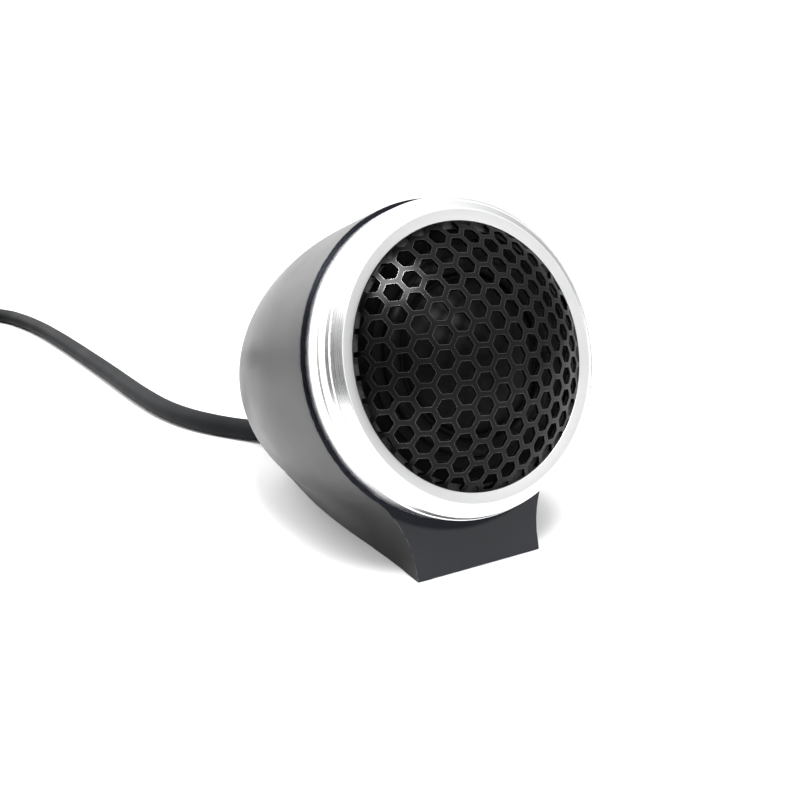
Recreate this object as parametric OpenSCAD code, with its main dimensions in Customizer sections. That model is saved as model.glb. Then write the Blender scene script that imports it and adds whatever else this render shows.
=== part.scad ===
// Soft-dome car tweeter in a bullet-shaped pod that stands on its own foot.
// X is across the pod, the tweeter faces -Y and looks up a little, and Z is up.
// The origin is in the middle of the foot's underside, on the mounting face.
// The pieces of the tweeter are drawn on its own axis, with z = 0 at the pod's open front,
// z growing forward and y up across the front.

/* [Pod] */
// Diameter of the pod at its open front
pod_d = 54.4; // [54:0.1:56]
// Length of the pod from its open front to its tail
pod_l = 60; // [58:0.5:62]
// Straight length of the pod behind its open front
pod_straight_l = 12; // [11:0.5:13]
// Radius of the long curve down the pod's side
pod_side_r = 80; // [78:0.5:84]
// Wall thickness of the pod
wall = 2.4; // [2:0.1:2.6]
// Upward tilt of the tweeter's axis
tilt = 17; // [16:0.25:18]
// Height of the middle of the pod's open front
front_h = 33.5; // [33.4:0.1:34.5]
// Distance of the pod's open front ahead of the origin
front_y = 20.6; // [20:0.1:21]

/* [Foot] */
// Furthest point of the foot behind the origin
foot_rear = 31.35; // [31:0.05:32]
// Radius of the foot's rounded rear end, seen from above
foot_rear_r = 20; // [18:0.5:24]
// Radius of the hollow flank between the pod and the foot
flank_r = 18.5; // [18:0.1:19]
// Distance between the two screw holes in the underside
screw_gap = 20; // [18:0.5:21]
// Radius of each screw hole in the underside
screw_hole_r = 1.25; // [1:0.05:1.5]
// Depth of each screw hole
screw_hole_l = 6.5; // [5:0.25:7]
// Thickness of the adhesive pad let into the underside
pad_t = 0.8; // [0.6:0.05:1]

/* [Trim ring and grille] */
// Outer diameter of the trim ring
ring_d = 53; // [52.8:0.1:53.2]
// Diameter of the opening in the trim ring
opening_d = 44; // [43.6:0.1:44.2]
// Height of the opening's edge above the pod's open front
ring_h = 7.2; // [7:0.05:7.4]
// Outer radius of the domed grille's sphere
grille_r = 36.5; // [36:0.1:38]
// Thickness of the grille's steel sheet
grille_t = 0.6; // [0.5:0.05:0.7]
// Distance between neighbouring holes in the grille
hole_pitch = 3.8; // [3.7:0.05:4]
// Width of each hexagonal hole across its flats
hole_flats = 2.95; // [2.7:0.05:3.05]
// Turn of the hole pattern about the tweeter's axis
hole_turn = -4.5; // [-10:0.5:0]

/* [Driver] */
// Diameter of the soft dome
dome_d = 25.4; // [25.2:0.1:25.6]
// Height of the soft dome above its edge
dome_h = 5.6; // [5:0.1:6]
// Diameter of the motor's steel cup
cup_d = 33; // [32.4:0.1:33.4]
// Depth of the motor's steel cup
cup_l = 12.8; // [12:0.1:14]

/* [Cable] */
// Diameter of the cable's jacket
cable_d = 4.8; // [4.6:0.1:5]
// Mean diameter of the coil that the spare cable is wound into
coil_d = 53; // [50:1:56]

/* [Hidden] */
$fn = 96;
eps = 0.01;
big = 200;

// Pod profile: a straight rim, a long side arc, and a round tail that meets the arc smoothly.
pod_r = pod_d / 2;
tail_c = (pow(pod_straight_l, 2) + pow(pod_side_r - pod_r, 2) - pow(pod_side_r - pod_l, 2))
    / (2 * (pod_side_r - pod_l + pod_straight_l));
tail_r = pod_l - tail_c;
join_share = (tail_c - pod_straight_l) / (pod_side_r - tail_r);

// Flank cutters: one torus a side, which rolls along the pod's belly and the foot's side.
flank_path_r = 60;
flank_x = 30.3;
flank_y = 25.6;
flank_back = 15;
flank_taper = 4.3;
foot_top = 16;
foot_front_half_w = 18.7;
foot_rear_half_w = 12.6;

// Spigot that the trim ring slides over, and the ledge that the driver is screwed to.
spigot_r = 25.4;
spigot_bore_r = 21.5;
spigot_top = 4.3;
spigot_depth = 4;
driver_screw_ring_r = 23.6;
driver_screw_pilot_r = 0.85;
driver_screw_r = 0.8;
driver_screw_head_r = 1.75;
driver_screw_l = 7;
driver_screw_angles = [90, 210, 330];

// Screw holes in the underside, and the bosses around them.
screw_mid_y = -6;
screw_boss_r = 3.2;
screw_boss_top = 8.6;
pad_hole_r = 2.6;

// Cable outlet at the rear of the foot.
outlet_z = 5;
outlet_y = foot_rear - 0.5;
outlet_r = 3;
cable_r = cable_d / 2;
cable_bore_r = cable_r + 0.05;
cable_start_y = 17;
grommet_flange_r = 4.2;
grommet_flange_t = 1.2;
grommet_tip_r = 2.9;
grommet_tail_l = 6;
grommet_inner_l = 5;

// Trim ring
ring_r = ring_d / 2;
opening_r = opening_d / 2;
ring_bore_r = 25.6;
lip_under = 6.5;
crest_r = 23.9;
crest_rise = 0.45;
ring_corner_r = 26.1;
ring_corner_drop = 1.3;
ring_groove_z = 4.5;
ring_groove = 0.2;

// Grille
grille_edge_r = opening_r - 0.15;
grille_c = lip_under - sqrt(pow(grille_r - grille_t, 2) - pow(grille_edge_r, 2));
grille_apex = grille_c + grille_r;
grille_rim_w = 0.35;
hole_rows = 7;
hole_shift = [0.35, 1.15];

// Driver
face_t = 1.7;
face_top = spigot_top + face_t;
face_bore_r = 14;
gasket_inner_r = 20.8;
former_r = 12.42;
former_t = 0.12;
former_l = 4.6;
dome_t = 0.25;
dome_r = dome_d / 2;
dome_sphere_r = (dome_r * dome_r + dome_h * dome_h) / (2 * dome_h);
dome_base = face_top + 0.35;
skirt_l = 0.8;
surround_mid_r = 14.9;
surround_roll_r = 1.6;
surround_t = 0.25;
surround_inner_r = 12.72;
surround_outer_r = 18.2;
coil_top = 3.8;
coil_l = 2;
coil_outer_r = 12.85;
gap_outer_r = 13.3;
pole_r = 11.9;
pole_top = 4;
pole_t = 2.5;
magnet_r = 11.4;
cup_floor_t = 4;
felt_r = 10.5;
felt_t = 0.8;

// Terminals, beside the motor at the top
board_w = 16;
board_low = 17;
board_high = 20.9;
board_t = 1.6;
terminal_x = 4.5;
terminal_y = 19;
terminal_w = 2.8;
terminal_t = 0.5;
terminal_tail = -6;
terminal_head = 5.2;
tinsel_r = 0.2;
tinsel_z = 5.5;
tinsel_start_y = 12.25;

// Crossover capacitor and wires inside the pod
cap_r = 5;
cap_l = 18;
cap_pos = [0, 4, -19];
cap_lead_r = 0.35;
cap_lead_out = 2;
cap_lead_l = 3;
wire_r = 0.9;
wire_sides = 8;
supply_route = [
    [-1.1, -16.2, -44.2], [-1.2, -16, -39.5], [-1.6, -13.6, -34], [-3.6, -10, -29],
    [-7.6, -6.2, -24.5], [-10.6, -2.8, -20.6], [-11, -0.6, -19], [-11, 0.95, -19]];
link_route = [
    [11, 7.05, -19], [11, 8.6, -19], [11.4, 12, -18], [10.2, 15.8, -14.5], [6.6, 18.6, -11],
    [4.5, 19, -8], [4.5, 19, -6.1]];
return_route = [
    [1.1, -16.2, -44.2], [1.2, -16, -39.5], [1.6, -13.6, -34], [2.6, -7, -28.5], [1.4, 2, -26.8],
    [-1.5, 10.5, -24.5], [-4, 16.5, -18.5], [-4.5, 19, -12], [-4.5, 19, -8], [-4.5, 19, -6.1]];

// Acoustic foam in the pod's tail
foam_front = -31;
foam_back = -44;
foam_r = 17.4;
foam_slot_w = 12;
foam_slot_y = -8;

// Route of the free cable, from inside the foot to the coil, along the surface it lies on.
cable_route = [
    [0, 17, 5], [0, 24, 5], [0, 31, 5], [0, 37, 5],
    [-1.2, 42.5, 4.2], [-4, 48, 2.9], [-8, 54.5, 2.4], [-12.4, 62, 2.4],
    [-15.5, 70, 2.4], [-17.6, 80, 2.4], [-18.6, 92, 2.4], [-19, 105, 2.4],
    [-19.2, 120, 2.4], [-19.6, 138, 2.4], [-20.2, 158, 2.4], [-21, 178, 2.4],
    [-22.4, 198, 2.4], [-24.7, 214, 2.4], [-28.3, 227, 2.4], [-33.2, 234.4, 2.4],
    [-40.8, 238.8, 2.4], [-50.6, 239.6, 2.4], [-63, 239.5, 2.4]];
cable_sides = 10;

// Coil of spare cable, two turns wide and two high, and the loose end that leaves it.
coil_pos = [-63, 213];
turns_inner_r = coil_d / 2 - 1.5 * cable_d;
turns_outer_r = coil_d / 2 + cable_d / 2;
turns_h = 2 * cable_d;
tie_t = 0.8;
tie_w = 6;
tie_gap = 0.02;
tie_turn = -60;
end_route = [
    [-89.5, 213, 7.2], [-89.5, 206, 7.1], [-89, 199, 6.2], [-87.8, 191, 4.6],
    [-86.2, 183, 3.4], [-84.6, 176, 3], [-84, 172, 3], [-84, 168, 3]];
sleeve_pos = [-84, 158, 3];
sleeve_l = 12;
sleeve_r = 2.95;
sleeve_lap = 2;
lead_r = 1.1;
lead_x = 1.2;
lead_red_route = [
    [-82.8, 159, 3], [-82.6, 155, 2.7], [-81.4, 150, 1.9], [-79.6, 144, 1.6],
    [-78.6, 139, 1.9], [-78.5, 136, 2.1], [-78.5, 134, 2.1]];
lead_black_route = [
    [-85.2, 159, 3], [-85.4, 155, 2.7], [-86.7, 150, 1.9], [-88.5, 144, 1.6],
    [-89.4, 139, 1.9], [-89.5, 136, 2.1], [-89.5, 134, 2.1]];
connector_y = 133.95;
connector_red_x = -78.5;
connector_black_x = -89.5;
connector_sleeve_r = 2.1;
connector_sleeve_l = 10;
connector_pin_r = 1.5;
connector_pin_l = 7;

// ---------- placing and shared shapes ----------

module on_axis() {
    translate([0, -front_y, front_h]) rotate([90 - tilt, 0, 0]) children();
}

// Half of a tube's section, spun about z: radii from r1 to r2, heights from z1 to z2.
module tube_between(r1, r2, z1, z2) {
    rotate_extrude() translate([r1, z1]) square([r2 - r1, z2 - z1]);
}

// The pod's section, shrunk inwards by inset, with the open front on the x axis.
module pod_section(inset) {
    side = pod_side_r - inset;
    tail = tail_r - inset;
    front = pod_r - inset;
    join_z = -(pod_straight_l + side * join_share);
    translate([0, -pod_straight_l]) square([front, pod_straight_l]);
    intersection() {
        translate([front - side, -pod_straight_l]) circle(r = side);
        translate([0, join_z]) square([front, -pod_straight_l - join_z]);
    }
    intersection() {
        translate([0, -tail_c]) circle(r = tail);
        translate([0, -pod_l]) square([front, join_z + pod_l]);
    }
}

// Sweep of a round section along a list of points, as one closed solid, with no twist.
function unit(v) = v / norm(v);
function heading(path, i) = i == 0
    ? unit(path[1] - path[0])
    : i == len(path) - 1
        ? unit(path[i] - path[i - 1])
        : unit(unit(path[i] - path[i - 1]) + unit(path[i + 1] - path[i]));
function square_to(s, h) = unit(s - (s * h) * h);
function ring_sides(path) = [
    for (i = 0, s = square_to([0.84, 0.1, 0.52], heading(path, 0)); i < len(path);
        i = i + 1, s = i < len(path) ? square_to(s, heading(path, i)) : s) s];
function ring_points(centre, h, a, r, sides) = [
    for (k = [0 : sides - 1])
        let (b = cross(a, h), t = 360 * (k + 0.5) / sides)
        centre + r * cos(t) * a + r * sin(t) * b];

module sweep(path, r, sides) {
    rings = len(path);
    across = ring_sides(path);
    points = [
        for (i = [0 : rings - 1])
            for (p = ring_points(path[i], heading(path, i), across[i], r, sides)) p];
    walls = [
        for (i = [0 : rings - 2]) for (k = [0 : sides - 1])
            let (n = (k + 1) % sides)
            [i * sides + k, i * sides + n, (i + 1) * sides + n, (i + 1) * sides + k]];
    start_cap = [for (k = [sides - 1 : -1 : 0]) k];
    end_cap = [for (k = [0 : sides - 1]) (rings - 1) * sides + k];
    polyhedron(points, concat([start_cap], walls, [end_cap]));
}

// A curve through the route's points, with extra points between each pair.
function spline_point(p0, p1, p2, p3, t) = 0.5 * (2 * p1 + (p2 - p0) * t
    + (2 * p0 - 5 * p1 + 4 * p2 - p3) * t * t
    + (3 * p1 - p0 - 3 * p2 + p3) * t * t * t);
function smooth(path, steps) = concat([
    for (i = [0 : len(path) - 2]) for (k = [0 : steps - 1])
        spline_point(path[max(i - 1, 0)], path[i], path[i + 1],
            path[min(i + 2, len(path) - 1)], k / steps)],
    [path[len(path) - 1]]);

module at_driver_screws() {
    for (a = driver_screw_angles) rotate([0, 0, a]) translate([driver_screw_ring_r, 0, 0]) children();
}

module at_base_screws() {
    for (side = [-1, 1]) translate([0, screw_mid_y + side * screw_gap / 2, 0]) children();
}

// ---------- pod ----------

// Rough block of the foot before its flanks are hollowed; its front is flush with the pod's.
module foot_block() {
    intersection() {
        linear_extrude(foot_top) polygon([
            [-foot_front_half_w, -front_y - front_h],
            [foot_front_half_w, -front_y - front_h],
            [foot_front_half_w, -front_y],
            [foot_rear_half_w, foot_rear],
            [-foot_rear_half_w, foot_rear],
            [-foot_front_half_w, -front_y]]);
        union() {
            translate([0, foot_rear - foot_rear_r, 0]) cylinder(r = foot_rear_r, h = foot_top);
            translate([-big / 2, foot_rear - foot_rear_r - big, 0]) cube([big, big, foot_top]);
        }
        on_axis() translate([-big / 2, -big / 2, -big]) cube([big, big, big]);
    }
}

module flank_cutter(side) {
    on_axis() translate([side * flank_x, flank_y, -flank_back]) rotate([0, 90 + side * flank_taper, 0])
        rotate_extrude() translate([flank_path_r, 0]) circle(r = flank_r);
}

module pad_outline(grow) {
    polygon([
        [-7.5 - grow, -27 - grow], [7.5 + grow, -27 - grow], [9.5 + grow, -25 - grow],
        [7.5 + grow, 24 + grow], [5.5 + grow, 26 + grow], [-5.5 - grow, 26 + grow],
        [-7.5 - grow, 24 + grow], [-9.5 - grow, -25 - grow]]);
}

module housing() {
    color([0.09, 0.09, 0.1]) difference() {
        union() {
            difference() {
                union() {
                    on_axis() rotate_extrude() pod_section(0);
                    difference() {
                        foot_block();
                        flank_cutter(-1);
                        flank_cutter(1);
                    }
                }
                on_axis() rotate_extrude() difference() {
                    pod_section(wall);
                    translate([0, -spigot_depth]) square([pod_r, spigot_depth]);
                }
            }
            on_axis() tube_between(0, spigot_r, -spigot_depth, spigot_top);
            at_base_screws() translate([0, 0, pad_t]) cylinder(r = screw_boss_r, h = screw_boss_top - pad_t);
        }
        on_axis() tube_between(0, spigot_bore_r, -spigot_depth - eps, spigot_top + eps);
        on_axis() at_driver_screws() translate([0, 0, spigot_top - driver_screw_l])
            cylinder(r = driver_screw_pilot_r, h = driver_screw_l + eps);
        at_base_screws() cylinder(r = screw_hole_r, h = pad_t + screw_hole_l);
        translate([0, 0, -eps]) linear_extrude(pad_t + eps) pad_outline(0.1);
        translate([0, outlet_y - grommet_inner_l, outlet_z]) rotate([-90, 0, 0])
            cylinder(r = outlet_r, h = grommet_inner_l + big);
        translate([0, cable_start_y - 1, outlet_z]) rotate([-90, 0, 0])
            cylinder(r = cable_bore_r, h = outlet_y - cable_start_y);
        translate([-big / 2, outlet_y, -eps]) cube([big, big, outlet_z + grommet_flange_r + 0.3]);
    }
}

module mounting_pad() {
    color([0.16, 0.16, 0.17]) difference() {
        linear_extrude(pad_t) pad_outline(0);
        at_base_screws() translate([0, 0, -eps]) cylinder(r = pad_hole_r, h = pad_t + 2 * eps);
    }
}

// ---------- front ----------

module trim_ring() {
    color([0.86, 0.87, 0.88]) on_axis() rotate_extrude() polygon([
        [ring_bore_r, 0], [ring_r, 0],
        [ring_r, ring_groove_z - ring_groove], [ring_r - ring_groove, ring_groove_z],
        [ring_r - ring_groove / 4, ring_groove_z + ring_groove],
        [ring_corner_r, ring_h - ring_corner_drop],
        [crest_r + 0.2, ring_h + crest_rise - 0.05], [crest_r, ring_h + crest_rise],
        [crest_r - 0.2, ring_h + crest_rise - 0.03], [opening_r, ring_h],
        [opening_r, lip_under], [ring_bore_r, lip_under]]);
}

module grille_cap() {
    intersection() {
        difference() {
            translate([0, 0, grille_c]) sphere(r = grille_r);
            translate([0, 0, grille_c]) sphere(r = grille_r - grille_t);
        }
        cylinder(r = grille_edge_r, h = grille_apex + 1);
    }
}

// One hexagonal hole, square to the domed sheet at distance d from the middle along the dome.
module grille_hole(d, bearing) {
    translate([0, 0, grille_c]) rotate([0, 0, bearing]) rotate([0, d / grille_r * 180 / PI, 0])
        rotate([0, 0, -bearing + hole_turn]) translate([0, 0, grille_r - 2 * grille_t])
            cylinder(r = hole_flats / sqrt(3), h = 3 * grille_t, $fn = 6);
}

module grille() {
    color([0.12, 0.12, 0.125]) on_axis() {
        difference() {
            grille_cap();
            for (i = [-hole_rows : hole_rows]) for (j = [-hole_rows : hole_rows]) {
                x = hole_pitch * sqrt(3) / 2 * i + hole_shift[0];
                y = hole_pitch * (j + i / 2) + hole_shift[1];
                d = norm([x, y]);
                if (d < grille_edge_r + hole_flats / 2) grille_hole(d, atan2(y, x) + hole_turn);
            }
        }
        intersection() {
            grille_cap();
            tube_between(grille_edge_r - grille_rim_w, grille_edge_r + 1, 0, grille_apex);
        }
    }
}

module grille_gasket() {
    color([0.1, 0.1, 0.1]) on_axis() tube_between(gasket_inner_r, spigot_r, face_top, lip_under);
}

// ---------- driver ----------

module faceplate() {
    color([0.07, 0.07, 0.075]) on_axis() difference() {
        tube_between(face_bore_r, spigot_r, spigot_top, face_top);
        at_driver_screws() translate([0, 0, spigot_top - eps]) cylinder(r = 1.1, h = face_t + 2 * eps);
        at_driver_screws() translate([0, 0, face_top - 0.8]) cylinder(r = 1.9, h = 1);
        for (side = [-1, 1]) translate([side * terminal_x, 0, 0]) {
            translate([-0.5, tinsel_start_y - 1, tinsel_z - 0.5]) cube([1, terminal_y - tinsel_start_y + 1, 1]);
            translate([-terminal_w / 2 - 0.1, terminal_y - terminal_t / 2 - 0.1, spigot_top - eps])
                cube([terminal_w + 0.2, terminal_t + 0.2, terminal_head - spigot_top + 0.1]);
        }
    }
}

module driver_screws() {
    color([0.2, 0.2, 0.21]) on_axis() at_driver_screws() {
        translate([0, 0, face_top - driver_screw_l]) cylinder(r = driver_screw_r, h = driver_screw_l - 0.5);
        difference() {
            translate([0, 0, face_top - 0.8]) cylinder(r = driver_screw_head_r, h = 0.75);
            for (turn = [0, 90]) rotate([0, 0, turn]) translate([-1, -0.2, face_top - 0.35]) cube([2, 0.4, 1]);
        }
    }
}

module surround() {
    roll_z = face_top + surround_t;
    inner_edge = surround_mid_r - surround_roll_r;
    outer_edge = surround_mid_r + surround_roll_r;
    color([0.06, 0.06, 0.065]) on_axis() rotate_extrude() {
        intersection() {
            difference() {
                translate([surround_mid_r, roll_z]) circle(r = surround_roll_r);
                translate([surround_mid_r, roll_z]) circle(r = surround_roll_r - surround_t);
            }
            translate([0, roll_z]) square([big, big]);
        }
        translate([surround_inner_r, face_top])
            square([inner_edge + surround_t - surround_inner_r, surround_t]);
        translate([outer_edge - surround_t, face_top])
            square([surround_outer_r - outer_edge + surround_t, surround_t]);
    }
}

module dome() {
    sphere_z = dome_base + dome_h - dome_sphere_r;
    color([0.08, 0.08, 0.085]) on_axis() {
        intersection() {
            difference() {
                translate([0, 0, sphere_z]) sphere(r = dome_sphere_r);
                translate([0, 0, sphere_z]) sphere(r = dome_sphere_r - dome_t);
            }
            translate([0, 0, dome_base]) cylinder(r = dome_r, h = dome_h + 1);
        }
        tube_between(former_r + 0.03, dome_r, dome_base - skirt_l, dome_base + dome_t);
    }
}

module coil_former() {
    color([0.72, 0.5, 0.2]) on_axis()
        tube_between(former_r - former_t, former_r, coil_top - coil_l - 0.2, coil_top - coil_l + former_l - 0.2);
}

module voice_coil() {
    color([0.75, 0.4, 0.2]) on_axis() tube_between(former_r + 0.01, coil_outer_r, coil_top - coil_l, coil_top);
}

module pole_plate() {
    color([0.6, 0.61, 0.63]) on_axis() translate([0, 0, pole_top - pole_t]) cylinder(r = pole_r, h = pole_t);
}

module magnet() {
    magnet_low = spigot_top - cup_l + cup_floor_t;
    color([0.5, 0.51, 0.53]) on_axis() translate([0, 0, magnet_low])
        cylinder(r = magnet_r, h = pole_top - pole_t - magnet_low);
}

module yoke_cup() {
    color([0.62, 0.63, 0.65]) on_axis() difference() {
        tube_between(0, cup_d / 2, spigot_top - cup_l, spigot_top);
        tube_between(0, gap_outer_r, spigot_top - cup_l + cup_floor_t, spigot_top + 1);
    }
}

module damping_felt() {
    color([0.35, 0.35, 0.36]) on_axis() translate([0, 0, pole_top]) cylinder(r = felt_r, h = felt_t);
}

// ---------- wiring inside the pod ----------

module terminal_board() {
    color([0.45, 0.3, 0.16]) on_axis() difference() {
        translate([-board_w / 2, board_low, spigot_top - board_t]) cube([board_w, board_high - board_low, board_t]);
        for (side = [-1, 1]) translate([side * terminal_x, terminal_y, spigot_top - board_t / 2])
            cube([terminal_w, terminal_t, board_t + 1], center = true);
        difference() {
            translate([0, 0, spigot_top - board_t - 1]) cylinder(r = 40, h = board_t + 2);
            translate([0, 0, spigot_top - board_t - 2]) cylinder(r = spigot_bore_r - 0.1, h = board_t + 4);
        }
    }
}

module terminal(side) {
    on_axis() difference() {
        translate([side * terminal_x - terminal_w / 2, terminal_y - terminal_t / 2, terminal_tail])
            cube([terminal_w, terminal_t, terminal_head - terminal_tail]);
        translate([side * terminal_x, terminal_y + 1, terminal_tail + 1.5]) rotate([90, 0, 0])
            cylinder(r = 0.6, h = 2);
    }
}

module positive_terminal() {
    color([0.8, 0.65, 0.3]) terminal(1);
}

module negative_terminal() {
    color([0.8, 0.65, 0.3]) terminal(-1);
}

module tinsel_leads() {
    color([0.7, 0.45, 0.25]) on_axis() for (side = [-1, 1])
        translate([side * terminal_x, tinsel_start_y, tinsel_z]) rotate([-90, 0, 0])
            cylinder(r = tinsel_r, h = terminal_y - tinsel_start_y);
}

module capacitor() {
    reach = cap_l / 2 + cap_lead_out;
    color([0.15, 0.2, 0.45]) on_axis() translate(cap_pos) {
        translate([-cap_l / 2, 0, 0]) rotate([0, 90, 0]) cylinder(r = cap_r, h = cap_l);
        translate([-reach, 0, 0]) rotate([0, 90, 0]) cylinder(r = cap_lead_r, h = 2 * reach);
        for (side = [-1, 1]) translate([side * reach, 0, 0]) {
            sphere(r = cap_lead_r);
            rotate([side * -90, 0, 0]) cylinder(r = cap_lead_r, h = cap_lead_l);
        }
    }
}

module supply_wire_red() {
    color([0.7, 0.08, 0.07]) on_axis() sweep(smooth(supply_route, 3), wire_r, wire_sides);
}

module link_wire_red() {
    color([0.7, 0.08, 0.07]) on_axis() sweep(smooth(link_route, 3), wire_r, wire_sides);
}

module return_wire_black() {
    color([0.05, 0.05, 0.05]) on_axis() sweep(smooth(return_route, 3), wire_r, wire_sides);
}

module damping_foam() {
    color([0.25, 0.25, 0.26]) on_axis() difference() {
        intersection() {
            translate([0, 0, foam_back]) cylinder(r = foam_r, h = foam_front - foam_back);
            rotate_extrude() pod_section(wall + 0.3);
        }
        translate([0, foam_slot_y, foam_back - 1]) cylinder(r = foam_slot_w / 2, h = foam_front - foam_back + 2);
        translate([-foam_slot_w / 2, foam_slot_y - big, foam_back - 1])
            cube([foam_slot_w, big, foam_front - foam_back + 2]);
    }
}

// ---------- cable ----------

module cable_grommet() {
    color([0.06, 0.06, 0.06]) translate([0, outlet_y, outlet_z]) rotate([-90, 0, 0]) difference() {
        union() {
            translate([0, 0, -grommet_inner_l + 0.1]) cylinder(r = outlet_r - 0.02, h = grommet_inner_l);
            cylinder(r = grommet_flange_r, h = grommet_flange_t);
            translate([0, 0, grommet_flange_t])
                cylinder(r1 = outlet_r + 0.4, r2 = grommet_tip_r, h = grommet_tail_l - grommet_flange_t);
        }
        translate([0, 0, -grommet_inner_l - 1]) cylinder(r = cable_bore_r, h = grommet_inner_l + grommet_tail_l + 2);
    }
}

module cable() {
    color([0.05, 0.05, 0.055]) {
        sweep(smooth(cable_route, 2), cable_r, cable_sides);
        sweep(end_route, cable_r, cable_sides);
    }
}

module cable_coil() {
    color([0.05, 0.05, 0.055]) translate([coil_pos[0], coil_pos[1], 0])
        tube_between(turns_inner_r, turns_outer_r, 0, turns_h);
}

// Strap round the coil's whole section, on the side away from the loose end.
module coil_tie() {
    color([0.1, 0.1, 0.1]) translate([coil_pos[0], coil_pos[1], 0]) rotate([0, 0, tie_turn]) difference() {
        translate([turns_inner_r - tie_t, -tie_w / 2, 0])
            cube([turns_outer_r - turns_inner_r + 2 * tie_t, tie_w, turns_h + tie_t]);
        tube_between(turns_inner_r - tie_gap, turns_outer_r + tie_gap, -1, turns_h + tie_gap);
    }
}

module cable_sleeve() {
    color([0.03, 0.03, 0.03]) translate(sleeve_pos) rotate([-90, 0, 0]) difference() {
        cylinder(r = sleeve_r, h = sleeve_l);
        translate([0, 0, sleeve_l - sleeve_lap]) cylinder(r = cable_bore_r, h = sleeve_lap + 1);
        for (side = [-1, 1]) translate([side * lead_x, 0, -1]) cylinder(r = lead_r + tie_gap, h = 2.05);
    }
}

module lead_red() {
    color([0.7, 0.08, 0.07]) sweep(smooth(lead_red_route, 2), lead_r, wire_sides);
}

module lead_black() {
    color([0.04, 0.04, 0.04]) sweep(smooth(lead_black_route, 2), lead_r, wire_sides);
}

// Insulated push-on connector at the end of a lead, pointing away from it.
module connector(x) {
    translate([x, connector_y, connector_sleeve_r]) rotate([90, 0, 0]) {
        cylinder(r = connector_sleeve_r, h = connector_sleeve_l);
        translate([0, 0, connector_sleeve_l]) cylinder(r = connector_pin_r, h = connector_pin_l);
        translate([0, 0, connector_sleeve_l + connector_pin_l]) sphere(r = connector_pin_r);
    }
}

module connector_red() {
    color([0.75, 0.1, 0.08]) connector(connector_red_x);
}

module connector_black() {
    color([0.05, 0.05, 0.05]) connector(connector_black_x);
}

housing();
mounting_pad();
trim_ring();
grille();
grille_gasket();
faceplate();
driver_screws();
surround();
dome();
coil_former();
voice_coil();
pole_plate();
magnet();
yoke_cup();
damping_felt();
terminal_board();
positive_terminal();
negative_terminal();
tinsel_leads();
capacitor();
supply_wire_red();
link_wire_red();
return_wire_black();
damping_foam();
cable_grommet();
cable();
cable_coil();
coil_tie();
cable_sleeve();
lead_red();
lead_black();
connector_red();
connector_black();
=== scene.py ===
import math

import bmesh
import bpy
import numpy as np
from mathutils import Matrix, Vector


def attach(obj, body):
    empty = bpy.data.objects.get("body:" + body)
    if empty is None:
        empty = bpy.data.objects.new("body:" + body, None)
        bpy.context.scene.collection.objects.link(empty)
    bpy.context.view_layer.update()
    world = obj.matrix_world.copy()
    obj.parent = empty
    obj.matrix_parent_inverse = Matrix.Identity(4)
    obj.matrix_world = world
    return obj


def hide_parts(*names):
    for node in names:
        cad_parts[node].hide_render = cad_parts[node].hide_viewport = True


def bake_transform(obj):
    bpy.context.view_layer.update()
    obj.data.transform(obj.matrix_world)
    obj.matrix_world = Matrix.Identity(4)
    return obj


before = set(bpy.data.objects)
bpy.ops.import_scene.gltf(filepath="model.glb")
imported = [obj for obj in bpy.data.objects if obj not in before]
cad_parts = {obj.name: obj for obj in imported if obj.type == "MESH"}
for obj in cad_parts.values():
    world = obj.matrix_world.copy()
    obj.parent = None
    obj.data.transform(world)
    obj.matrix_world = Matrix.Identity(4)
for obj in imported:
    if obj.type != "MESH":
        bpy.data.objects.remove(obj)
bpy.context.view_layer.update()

MM = 0.001
PI = math.pi

# ---------------------------------------------------------------- the tweeter's own frame
# Shapes on the tweeter's axis are drawn in millimetres: z forward, y up across the front.
TILT = math.radians(17)
FRONT_Y = 20.6
FRONT_H = 33.5
ON_AXIS = Matrix.Translation(Vector((0, -FRONT_Y, FRONT_H)) * MM) @ Matrix.Rotation(PI / 2 - TILT, 4, "X")
AXIS_Y = math.cos(PI / 2 - TILT)
AXIS_Z = math.sin(PI / 2 - TILT)

POD_R = 27.2
POD_L = 60.0
POD_STRAIGHT = 12.0
POD_SIDE_R = 80.0
RIM_FLARE = 0.16
RIM_FLARE_L = 16.0
WALL = 2.4
SPIGOT_R = 25.4
SPIGOT_BORE = 21.5
SPIGOT_TOP = 4.3
SPIGOT_DEPTH = 4.0
TAIL_C = (POD_STRAIGHT**2 + (POD_SIDE_R - POD_R) ** 2 - (POD_SIDE_R - POD_L) ** 2) / (
    2 * (POD_SIDE_R - POD_L + POD_STRAIGHT)
)
TAIL_R = POD_L - TAIL_C
JOIN_ANGLE = math.atan2(TAIL_C - POD_STRAIGHT, POD_SIDE_R - POD_R)

FOOT_REAR = 30.85
FOOT_MID_HALF = 10.65
FOOT_TAPER = 0.062
FLANK_R = 18.5
FOOT_CORNER_R = 4.0

# ---------------------------------------------------------------- camera
CAMERA_AT = Vector((-90.78, -152.52, 72.35)) * MM
CAMERA_TURN = math.radians(-31.56)
CAMERA_DROP = math.radians(16.0)

camera_data = bpy.data.cameras.new("camera")
camera_data.sensor_width = 36
camera_data.lens = 44.1
camera_data.clip_start = 0.01
camera_data.clip_end = 20
camera = bpy.data.objects.new("camera", camera_data)
bpy.context.scene.collection.objects.link(camera)
back = Vector(
    (
        math.sin(CAMERA_TURN) * math.cos(CAMERA_DROP),
        -math.cos(CAMERA_TURN) * math.cos(CAMERA_DROP),
        math.sin(CAMERA_DROP),
    )
)
camera.location = CAMERA_AT
camera.rotation_mode = "QUATERNION"
camera.rotation_quaternion = (-back).to_track_quat("-Z", "Y")
bpy.context.scene.camera = camera


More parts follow.
